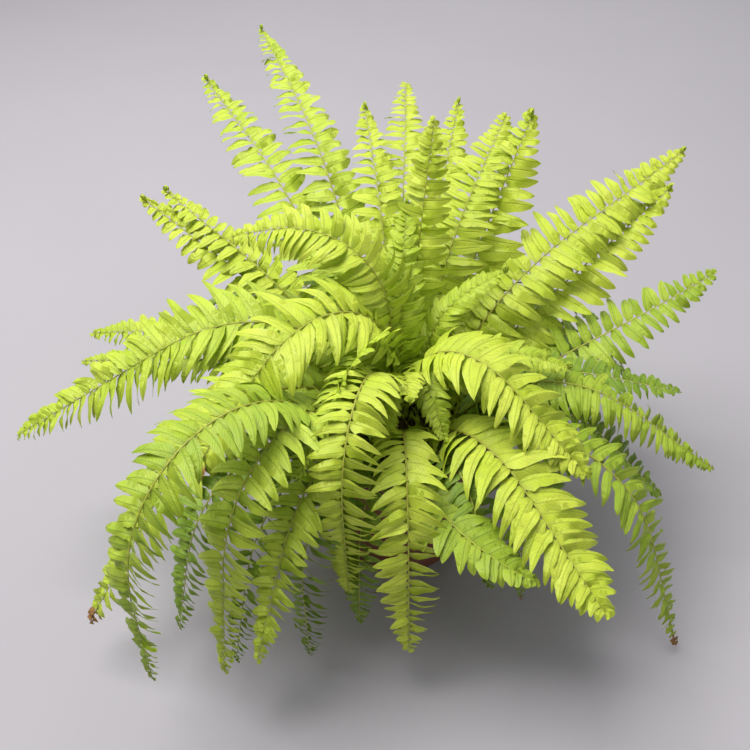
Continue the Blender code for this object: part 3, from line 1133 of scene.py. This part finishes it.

# Each frond's tone also paints light onto fronds high in the plant and shade onto those low and deep in it.
# Each frond: the length of its longest leaflet, the step between leaflets and their breadth, in millimetres.
CUTS = {
    "arching_frond_01": arching(27, 5.4, 6.2, sag=0.40, blunt=2.6, arch=0.14, roof=0.36, angle=78),
    "arching_frond_02": arching(31, 6.6, 7.6, hook=0.24, angle=66, tone=FRESH),
    "arching_frond_03": arching(30, 6.2, 7.2, blunt=1.7, tip=WITHERED, taper=3.0),
    "arching_frond_04": arching(30, 7.4, 8.4, blunt=1.8, hook=0.20, tip=WITHERED, tone=FRESH),
    "arching_frond_05": arching(23, 6.8, 7.0, tone=MIDDLE, angle=78),
    "arching_frond_06": arching(22, 6.6, 7.2, tone=FRESH, angle=82, blunt=2.4),
    "arching_frond_07": arching(20, 6.2, 6.6, tone=FRESH, angle=78),
    "arching_frond_08": arching(21, 5.2, 5.8, blunt=1.6, taper=3.0, angle=80),
    "arching_frond_09": arching(22, 5.6, 6.4, blunt=1.8, taper=3.0, angle=78),
    "arching_frond_10": arching(31, 6.0, 8.0, blunt=1.7, taper=2.6, start=0.08),
    "arching_frond_11": arching(26, 6.2, 7.4, blunt=1.7, taper=2.6),
    "arching_frond_12": arching(23, 6.2, 8.4, tone=MIDDLE, blunt=2.6),
    "arching_frond_13": arching(21, 4.8, 5.2, tone=MIDDLE, sag=0.34, lift=-12, angle=80),
    "arching_frond_14": arching(21, 7.0, 5.8, tone=MIDDLE, tip=WITHERED, angle=70),
    "upright_frond_01": upright(20, 7.2, 7.0, tone=FRESH),
    "upright_frond_02": upright(25, 7.4, 7.0, tone=FRESH),
    "upright_frond_03": upright(19, 7.4, 7.4),
    "upright_frond_04": upright(19, 7.2, 7.0),
    "upright_frond_05": upright(23, 6.6, 6.2, tone=MIDDLE, tip=TAPERED),
    "upright_frond_06": upright(27, 7.2, 7.6),
    "upright_frond_07": upright(26, 7.0, 7.2),
    "upright_frond_08": upright(29, 7.6, 8.2),
    "upright_frond_09": upright(25, 5.4, 5.2, blunt=2.6, tip=TAPERED),
    "upright_frond_10": upright(20, 6.6, 6.6),
    "upright_frond_11": upright(20, 5.6, 5.6, tip=TAPERED),
    "upright_frond_12": upright(22, 6.0, 5.6, blunt=2.6, angle=88, tip=TAPERED),
    "upright_frond_13": upright(19, 6.8, 6.6),
    "hanging_frond_01": hanging(20, 5.8, 6.8, tone=FRESH),
    "hanging_frond_02": hanging(18, 5.6, 6.4, tone=FRESH),
    "hanging_frond_03": hanging(20, 6.2, 6.2),
    "hanging_frond_04": hanging(21, 6.2, 6.2),
    "hanging_frond_05": hanging(20, 5.8, 5.6, twist=42, lift=14),
    "hanging_frond_06": hanging(19, 5.8, 5.6, twist=30),
    "hanging_frond_07": hanging(17, 5.4, 5.4),
    "hanging_frond_08": hanging(16, 5.4, 5.6),
    "hanging_frond_09": hanging(12, 6.2, 4.2, tip=WITHERED),
    "hanging_frond_10": hanging(20, 5.8, 6.0),
    "hanging_frond_11": hanging(19, 5.8, 6.0),
    "hanging_frond_12": hanging(19, 6.0, 6.2),
    "young_frond_01": young(15, 4.2, 5.0),
    "young_frond_02": young(16, 4.4, 5.2),
    "young_frond_03": young(16, 4.2, 5.2),
    "young_frond_04": young(14, 3.8, 4.8, tone=BRIGHT),
    "young_frond_05": young(16, 4.4, 5.2),
    "young_frond_06": young(18, 4.4, 5.4, lift=20),
    "young_frond_07": young(14, 3.8, 5.0, tone=BRIGHT),
    "young_frond_08": young(15, 4.0, 5.0, tone=BRIGHT),
    "young_frond_09": young(15, 4.0, 5.2),
    "young_frond_10": young(14, 3.8, 5.0, tone=BRIGHT),
}
# The low fronds at the back, which are all much alike.
USUAL_CUT = hanging(22, 6.0, 7.0)


def turned(profile: list[tuple[float, float]], steps: int) -> BMesh:
    """Turns a profile about the upright axis.

    Args:
        profile: the (radius, height) of each point, both ends on the axis.
        steps: how many steps the full turn takes.

    Returns:
        The closed shape, with its faces outward.
    """
    shape = bmesh.new()
    points = [shape.verts.new((radius, 0.0, height)) for radius, height in profile]
    edges = [shape.edges.new(pair) for pair in zip(points, points[1:])]
    bmesh.ops.spin(
        shape,
        geom=points + edges,
        cent=(0.0, 0.0, 0.0),
        axis=UP,
        angle=math.tau,
        steps=steps,
        use_merge=True,
    )
    bmesh.ops.remove_doubles(shape, verts=shape.verts, dist=0.001 * MM)
    bmesh.ops.recalc_face_normals(shape, faces=shape.faces)
    return shape


@dataclass
class Pot:
    """The tapered pot: a rim band with a rolled lip, two moulded rings, and drain holes in its floor."""

    height: float
    top_radius: float
    base_radius: float = 37.0 * MM
    wall: float = 1.8 * MM
    floor: float = 2.2 * MM
    band_height: float = 14.0 * MM
    band_depth: float = 1.6 * MM
    ring_heights: tuple[float, ...] = (9.0 * MM, 66.0 * MM)
    ring_depth: float = 0.5 * MM
    corner: float = 1.2 * MM
    lip: float = 0.9 * MM
    holes: int = 6
    hole_radius: float = 3.8 * MM
    hole_circle: float = 24.0 * MM

    def outer(self, height: float) -> float:
        """Returns the wall's outer radius at a height."""
        return blend(self.base_radius, self.top_radius - self.band_depth, height / self.height)

    def profile(self) -> list[tuple[float, float]]:
        """Returns the pot's half section, from the middle of its inside floor to that of its underside."""
        top, lip, foot = self.height, self.lip, self.height - self.band_height
        inner = self.outer(top) - self.wall
        points = [
            (0.0, self.floor),
            (self.outer(self.floor) - self.wall - self.corner, self.floor),
            (self.outer(self.floor) - self.wall, self.floor + self.corner),
            (inner, top - 1.5 * lip),
            (inner + 0.25 * lip, top - 0.4 * lip),
            (inner + 0.9 * lip, top),
            (self.top_radius - 0.9 * lip, top),
            (self.top_radius - 0.25 * lip, top - 0.3 * lip),
            (self.top_radius, top - lip),
            (self.top_radius, foot + 0.5 * lip),
            (self.top_radius - 0.3 * lip, foot),
            (self.outer(foot) + 0.3 * lip, foot),
            (self.outer(foot), foot - 0.4 * lip),
        ]
        for ring in sorted(self.ring_heights, reverse=True):
            wall = self.outer(ring)
            points += [
                (wall, ring + 1.1 * MM),
                (wall + self.ring_depth, ring + 0.6 * MM),
                (wall + self.ring_depth, ring - 0.6 * MM),
                (wall, ring - 1.1 * MM),
            ]
        points += [(self.base_radius, lip), (self.base_radius - lip, 0.0), (0.0, 0.0)]
        return points

    def build(self, wardrobe: Wardrobe) -> bpy.types.Object:
        """Builds the pot.

        Args:
            wardrobe: the finishes.

        Returns:
            The pot's object.
        """
        pot = object_of("pot_moulded", turned(self.profile(), 128), [wardrobe.pot], 30.0)
        cutters = []
        for hole in range(self.holes):
            turn = math.tau * (hole + 0.5) / self.holes
            spot = Vector((math.cos(turn), math.sin(turn), 0.0)) * self.hole_circle
            shape = bmesh.new()
            bmesh.ops.create_cone(
                shape,
                cap_ends=True,
                segments=32,
                radius1=self.hole_radius,
                radius2=self.hole_radius,
                depth=4.0 * self.floor,
                matrix=Matrix.Translation(spot),
            )
            cutters.append(object_of(f"hole_cutter_{hole}", shape, [wardrobe.pot], 30.0))
            cut = pot.modifiers.new(f"hole_{hole}", "BOOLEAN")
            cut.solver = "EXACT"
            cut.object = cutters[-1]
        graph = bpy.context.evaluated_depsgraph_get()
        holed = bpy.data.meshes.new_from_object(pot.evaluated_get(graph))
        pot.modifiers.clear()
        pot.data = holed
        holed.set_sharp_from_angle(angle=math.radians(30.0))
        for cutter in cutters:
            bpy.data.objects.remove(cutter)
        return pot


@dataclass
class PottingMix:
    """The mix: a rough domed top that fills the pot to below its rim, with bark and grit lying on it."""

    low: Vector
    high: Vector
    crumbs: int = 260
    grits: int = 46
    roughness: float = 0.9 * MM

    def top_at(self, radius: float) -> float:
        """Returns the height of the mix at a distance from the middle."""
        return self.high.z - 2.0 * MM * (radius / self.high.x) ** 2

    def build(self, wardrobe: Wardrobe) -> bpy.types.Object:
        """Builds the mix.

        Args:
            wardrobe: the finishes.

        Returns:
            The mix's object.
        """
        rings = 14
        radii = [self.high.x * ring / rings for ring in range(rings + 1)]
        profile = [(radius, self.top_at(radius)) for radius in radii]
        profile += [(self.high.x * 0.87, blend(self.low.z, self.high.z, 0.45))]
        profile += [(self.high.x * 0.72, self.low.z), (0.0, self.low.z)]
        shape = turned(profile, 96)
        for vert in shape.verts:
            if vert.co.z > self.high.z - 2.5 * MM:
                bumps = noise.fractal(vert.co * 260.0, 0.8, 2.0, 4)
                vert.co.z += self.roughness * bumps
        chance = random.Random("potting mix")
        for count, slot, sizes in ((self.crumbs, 1, (0.8, 3.0)), (self.grits, 2, (0.6, 1.5))):
            for _ in range(count):
                self.crumb(shape, chance, slot, sizes)
        finishes = [wardrobe.mix, wardrobe.crumb, wardrobe.grit]
        return object_of("potting_mix_crumbly", shape, finishes, 60.0)

    def crumb(self, shape: BMesh, chance: random.Random, slot: int, sizes: tuple[float, float]) -> None:
        """Lays one crumb on the mix.

        Args:
            shape: the mix's mesh.
            chance: the source of its place and size.
            slot: its material slot.
            sizes: its smallest and largest size in millimetres.
        """
        turn = chance.uniform(0.0, math.tau)
        radius = math.sqrt(chance.uniform(0.42, 0.92)) * self.high.x
        size = chance.uniform(*sizes) * MM
        made = bmesh.ops.create_icosphere(shape, subdivisions=1, radius=size / 2)
        squash = Vector((1.0, chance.uniform(0.45, 0.9), chance.uniform(0.3, 0.7)))
        lean = Matrix.Rotation(turn * 3.0, 3, "Z") @ Matrix.Rotation(chance.gauss(0.0, 0.4), 3, "X")
        height = self.top_at(radius) + 0.2 * size
        place = Vector((radius * math.cos(turn), radius * math.sin(turn), height))
        for vert in made["verts"]:
            rough = 1.0 + 0.25 * noise.noise(vert.co * 2500.0 + place * 900.0)
            vert.co = lean @ Vector(a * b * rough for a, b in zip(vert.co, squash)) + place
            for face in vert.link_faces:
                face.material_index = slot


@dataclass
class Crown:
    """The rootstock crown: a knobbly low mound of old stalk bases, dry scales and small new leaflets."""

    low: Vector
    high: Vector
    stubs: int = 300
    sprouts: int = 230
    ROOTED: ClassVar[float] = 0.93

    def build(self, forms: dict[str, TubeForm], wardrobe: Wardrobe) -> bpy.types.Object:
        """Builds the crown.

        Args:
            forms: the plain forms, by name.
            wardrobe: the finishes.

        Returns:
            The crown's object.
        """
        chance = random.Random("crown")
        parts = Assembly()
        self.core(parts)
        for _ in range(self.stubs):
            self.stub(parts, forms["stub"], chance)
        for _ in range(self.sprouts):
            turn, rise = chance.uniform(0.0, math.tau), math.asin(chance.uniform(0.35, 0.99))
            spot = self.bearing(turn, rise)
            lean = Vector((chance.gauss(0, 0.45), chance.gauss(0, 0.45), chance.uniform(0.2, 0.9)))
            outward = (spot + lean).normalized()
            normal = outward.cross(Vector((math.sin(turn), -math.cos(turn), 0.2))).normalized()
            places = self.sprout(self.root_at(spot), outward, normal, chance).places(forms["leaflet"])
            parts.add(forms["leaflet"], places, [(chance.random(), 0.3, 0.0, 1.0)] * len(places))
        # The small new leaflets take the bright leaf copy, whose pale green is partly painted light where
        # they sit deep in the crown.
        return parts.finish("rootstock_crown_scaly", [wardrobe.leaf[LeafTone.BRIGHT], wardrobe.crown], 60.0)

    @property
    def middle(self) -> Vector:
        """Returns the middle of the mound."""
        return (self.low + self.high) / 2

    @property
    def half(self) -> Vector:
        """Returns half the mound's size each way."""
        return (self.high - self.low) / 2

    @staticmethod
    def bearing(turn: float, rise: float) -> Vector:
        """Returns the way that lies at a turn about the upright axis and a rise."""
        return Vector((math.cos(turn) * math.cos(rise), math.sin(turn) * math.cos(rise), math.sin(rise)))

    def root_at(self, spot: Vector) -> Vector:
        """Returns the place just under the mound's skin that lies along a bearing."""
        return self.middle + Vector(a * b * self.ROOTED for a, b in zip(spot, self.half))

    def core(self, parts: Assembly) -> None:
        """Adds the knobbly mound itself.

        Args:
            parts: the crown's mesh.
        """
        ball = bmesh.new()
        bmesh.ops.create_icosphere(ball, subdivisions=4, radius=1.0)
        for face in ball.faces:
            face.material_index = 1
        core = bpy.data.meshes.new("crown_core")
        ball.to_mesh(core)
        parts.shape.from_mesh(core)
        middle, half = self.middle, self.half
        for vert in ball.verts:
            rough = 0.95 + 0.035 * noise.fractal(vert.co * 5.0, 0.9, 2.0, 4)
            parts.places.append(middle + Vector(a * b * rough for a, b in zip(vert.co, half)))
            parts.data.append((0.0, 0.0, 0.0, 1.0))
        ball.free()
        bpy.data.meshes.remove(core)

    def stub(self, parts: Assembly, form: TubeForm, chance: random.Random) -> None:
        """Adds one old stalk base or scale.

        Args:
            parts: the crown's mesh.
            form: the plain tube.
            chance: the source of its place and size.
        """
        turn, rise = chance.uniform(0.0, math.tau), math.asin(chance.uniform(-0.02, 0.97))
        spot = self.bearing(turn, rise)
        out = Vector(a / b for a, b in zip(spot, self.half)).normalized()
        lean = Vector((chance.gauss(0, 0.3), chance.gauss(0, 0.3), chance.gauss(0.25, 0.3)))
        outward = (out + lean).normalized()
        across = outward.orthogonal().normalized()
        length, radius = chance.uniform(2.5, 8.0) * MM, chance.uniform(0.35, 0.95) * MM
        places = self.stub_places(form, self.root_at(spot), outward, across, length, radius)
        parts.add(form, places, [(chance.random(), 0.0, 0.0, 1.0)] * len(places))

    @staticmethod
    def sprout(root: Vector, outward: Vector, normal: Vector, chance: random.Random) -> Leaflet:
        """Sets one small new leaflet on the crown.

        Args:
            root: where it grows.
            outward: the way it points.
            normal: the way its upper face looks.
            chance: the source of its small differences.

        Returns:
            The leaflet.
        """
        return Leaflet(
            root=root,
            outward=outward,
            normal=normal,
            tip_sign=chance.choice((-1.0, 1.0)),
            length=chance.uniform(7.0, 12.0) * MM,
            half_breadth=chance.uniform(1.6, 2.4) * MM,
            blunt=2.4,
            hook=chance.gauss(0.1, 0.05),
            sag=chance.uniform(0.1, 0.5),
            arch=0.1,
            curl=chance.gauss(0.0, 0.4),
            roof=0.35,
            ripple=0.2,
            phase=chance.uniform(0.0, math.tau),
        )

    @staticmethod
    def stub_places(
        form: TubeForm, root: Vector, outward: Vector, across: Vector, length: float, radius: float
    ) -> list[Vector]:
        """Shapes one stalk base or scale.

        Args:
            form: the plain tube.
            root: where it grows.
            outward: the way it points.
            across: a way square to that.
            length: its length.
            radius: its radius at the foot.

        Returns:
            The place of each of its points.
        """
        corners = 1 + max(corner for _, corner in form.marks)
        other = outward.cross(across)
        found = []
        for ring, corner in form.marks:
            share = ring / (form.rings - 1)
            turn = math.tau * corner / corners
            thick = radius * blend(1.0, 0.35, share)
            skin = across * (math.cos(turn) * thick) + other * (math.sin(turn) * thick * 0.7)
            found.append(root + outward * (length * share) + skin)
        return found


@dataclass
class Studio:
    """A plain pale floor, soft light and the camera."""

    aim: Vector = field(default_factory=lambda: Vector((0.0, 0.0, 0.095)))
    distance: float = 0.50
    elevation: float = 42.0
    lens: float = 43.4
    pan: float = 1.58
    tilt: float = 2.21
    floor_size: float = 12.0

    def floor(self) -> bpy.types.Object:
        """Builds the floor and returns it."""
        shape = bmesh.new()
        bmesh.ops.create_grid(shape, x_segments=1, y_segments=1, size=self.floor_size / 2)
        bmesh.ops.translate(shape, vec=(0.0, 0.0, -0.2 * MM), verts=shape.verts)
        material, at, shader = new_material("pale_floor")
        grain = at.noise(at.object_place(), 6.0, 3.0)
        at.feed(shader.inputs["Base Color"], at.mix(grain, (0.43, 0.415, 0.45), (0.46, 0.445, 0.48)))
        shader.inputs["Roughness"].default_value = 0.9
        shader.inputs["Specular IOR Level"].default_value = 0.2
        return object_of("studio_floor", shape, [material], 30.0)

    def light(
        self, name: str, place: tuple[float, float, float], size: float, power: float, colour: Colour
    ) -> None:
        """Hangs one soft light that faces the plant.

        Args:
            name: its name.
            place: where it hangs.
            size: its side.
            power: its power in watts.
            colour: its colour.
        """
        lamp = bpy.data.lights.new(name, "AREA")
        lamp.shape = "SQUARE"
        lamp.size = size
        lamp.energy = power
        lamp.color = colour
        made = bpy.data.objects.new(name, lamp)
        made.location = place
        made.rotation_euler = (self.aim - Vector(place)).to_track_quat("-Z", "Y").to_euler()
        bpy.context.scene.collection.objects.link(made)

    def lights(self) -> None:
        """Hangs the lights and sets the pale surroundings."""
        self.light("key_light", (-0.50, 0.10, 1.50), 1.0, 29.0, (1.0, 0.985, 0.95))
        self.light("fill_light", (1.5, -0.9, 0.9), 1.6, 4.0, (0.96, 0.98, 1.0))
        self.light("back_light", (0.2, 1.4, 1.2), 1.4, 9.0, (1.0, 0.99, 1.0))
        world = bpy.data.worlds.new("pale_room")
        world.use_nodes = True
        world.node_tree.nodes["Background"].inputs["Color"].default_value = (0.86, 0.86, 0.90, 1.0)
        world.node_tree.nodes["Background"].inputs["Strength"].default_value = 0.22
        bpy.context.scene.world = world

    def camera(self) -> None:
        """Sets the camera up, above the front of the plant."""
        rise = math.radians(self.elevation)
        back = Vector((0.0, -math.cos(rise), math.sin(rise)))
        data = bpy.data.cameras.new("camera")
        data.lens = self.lens
        data.clip_start = 0.01
        made = bpy.data.objects.new("camera", data)
        look = (-back).to_track_quat("-Z", "Y").to_matrix()
        look = Matrix.Rotation(math.radians(self.pan), 3, look.col[1]) @ look
        look = Matrix.Rotation(math.radians(self.tilt), 3, look.col[0]) @ look
        made.matrix_world = Matrix.Translation(self.aim + back * self.distance) @ look.to_4x4()
        bpy.context.scene.collection.objects.link(made)
        bpy.context.scene.camera = made

    def build(self) -> None:
        """Builds the whole studio."""
        self.floor()
        self.lights()
        self.camera()
        bpy.context.scene.view_settings.view_transform = "Standard"


def plain_forms() -> dict[str, TubeForm]:
    """Returns the plain forms that the leaflets, stalks and buds are shaped from."""
    across = tuple(0.5 + 0.5 * corner.value[0] for corner in LEAFLET_CORNERS)
    return {
        "leaflet": TubeForm("leaflet_form", len(LEAFLET_CORNERS), 10, 0, across),
        "midrib": TubeForm("midrib_form", 7, 44, 1),
        "crozier": TubeForm("crozier_form", 6, 22, 0),
        "stub": TubeForm("stub_form", 5, 3, 1),
    }


def place_piece(piece: bpy.types.Object, node: str, slot: str) -> None:
    """Sets a piece in place of a node of the frame.

    Args:
        piece: the finished piece.
        node: the node that it stands for.
        slot: the record's material slot; not used.
    """
    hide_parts(node)
    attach(piece, "root")
    LOG.info("%s stands for %s: %d faces", piece.name, node, len(piece.data.polygons))


def main() -> None:
    """Builds every piece and the studio, and logs each piece's face count."""
    logging.basicConfig(level=logging.INFO, format="%(name)s: %(message)s")
    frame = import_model()
    slots = {entry["node"]: entry["material_slot"] for entry in frame["record"]["subparts"]}
    wardrobe = Wardrobe(Groups())
    forms = plain_forms()
    low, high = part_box("pot")
    place_piece(Pot(high.z, high.x).build(wardrobe), "pot", slots["pot"])
    crown_low, crown_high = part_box("rootstock_crown")
    low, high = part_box("potting_mix")
    mix = PottingMix(low, high).build(wardrobe)
    place_piece(mix, "potting_mix", slots["potting_mix"])
    crown = Crown(crown_low, crown_high).build(forms, wardrobe)
    place_piece(crown, "rootstock_crown", slots["rootstock_crown"])
    centre = (crown_low + crown_high) / 2
    for node, solid in sorted(frame["nodes"].items()):
        if "_frond_" in node:
            frond = Frond(node, CUTS.get(node, USUAL_CUT), Midrib(solid, centre))
            place_piece(frond.build(forms, wardrobe), node, slots[node])
    for form in forms.values():
        bpy.data.meshes.remove(form.mesh)
    Studio().build()


if __name__ == "__main__":
    main()
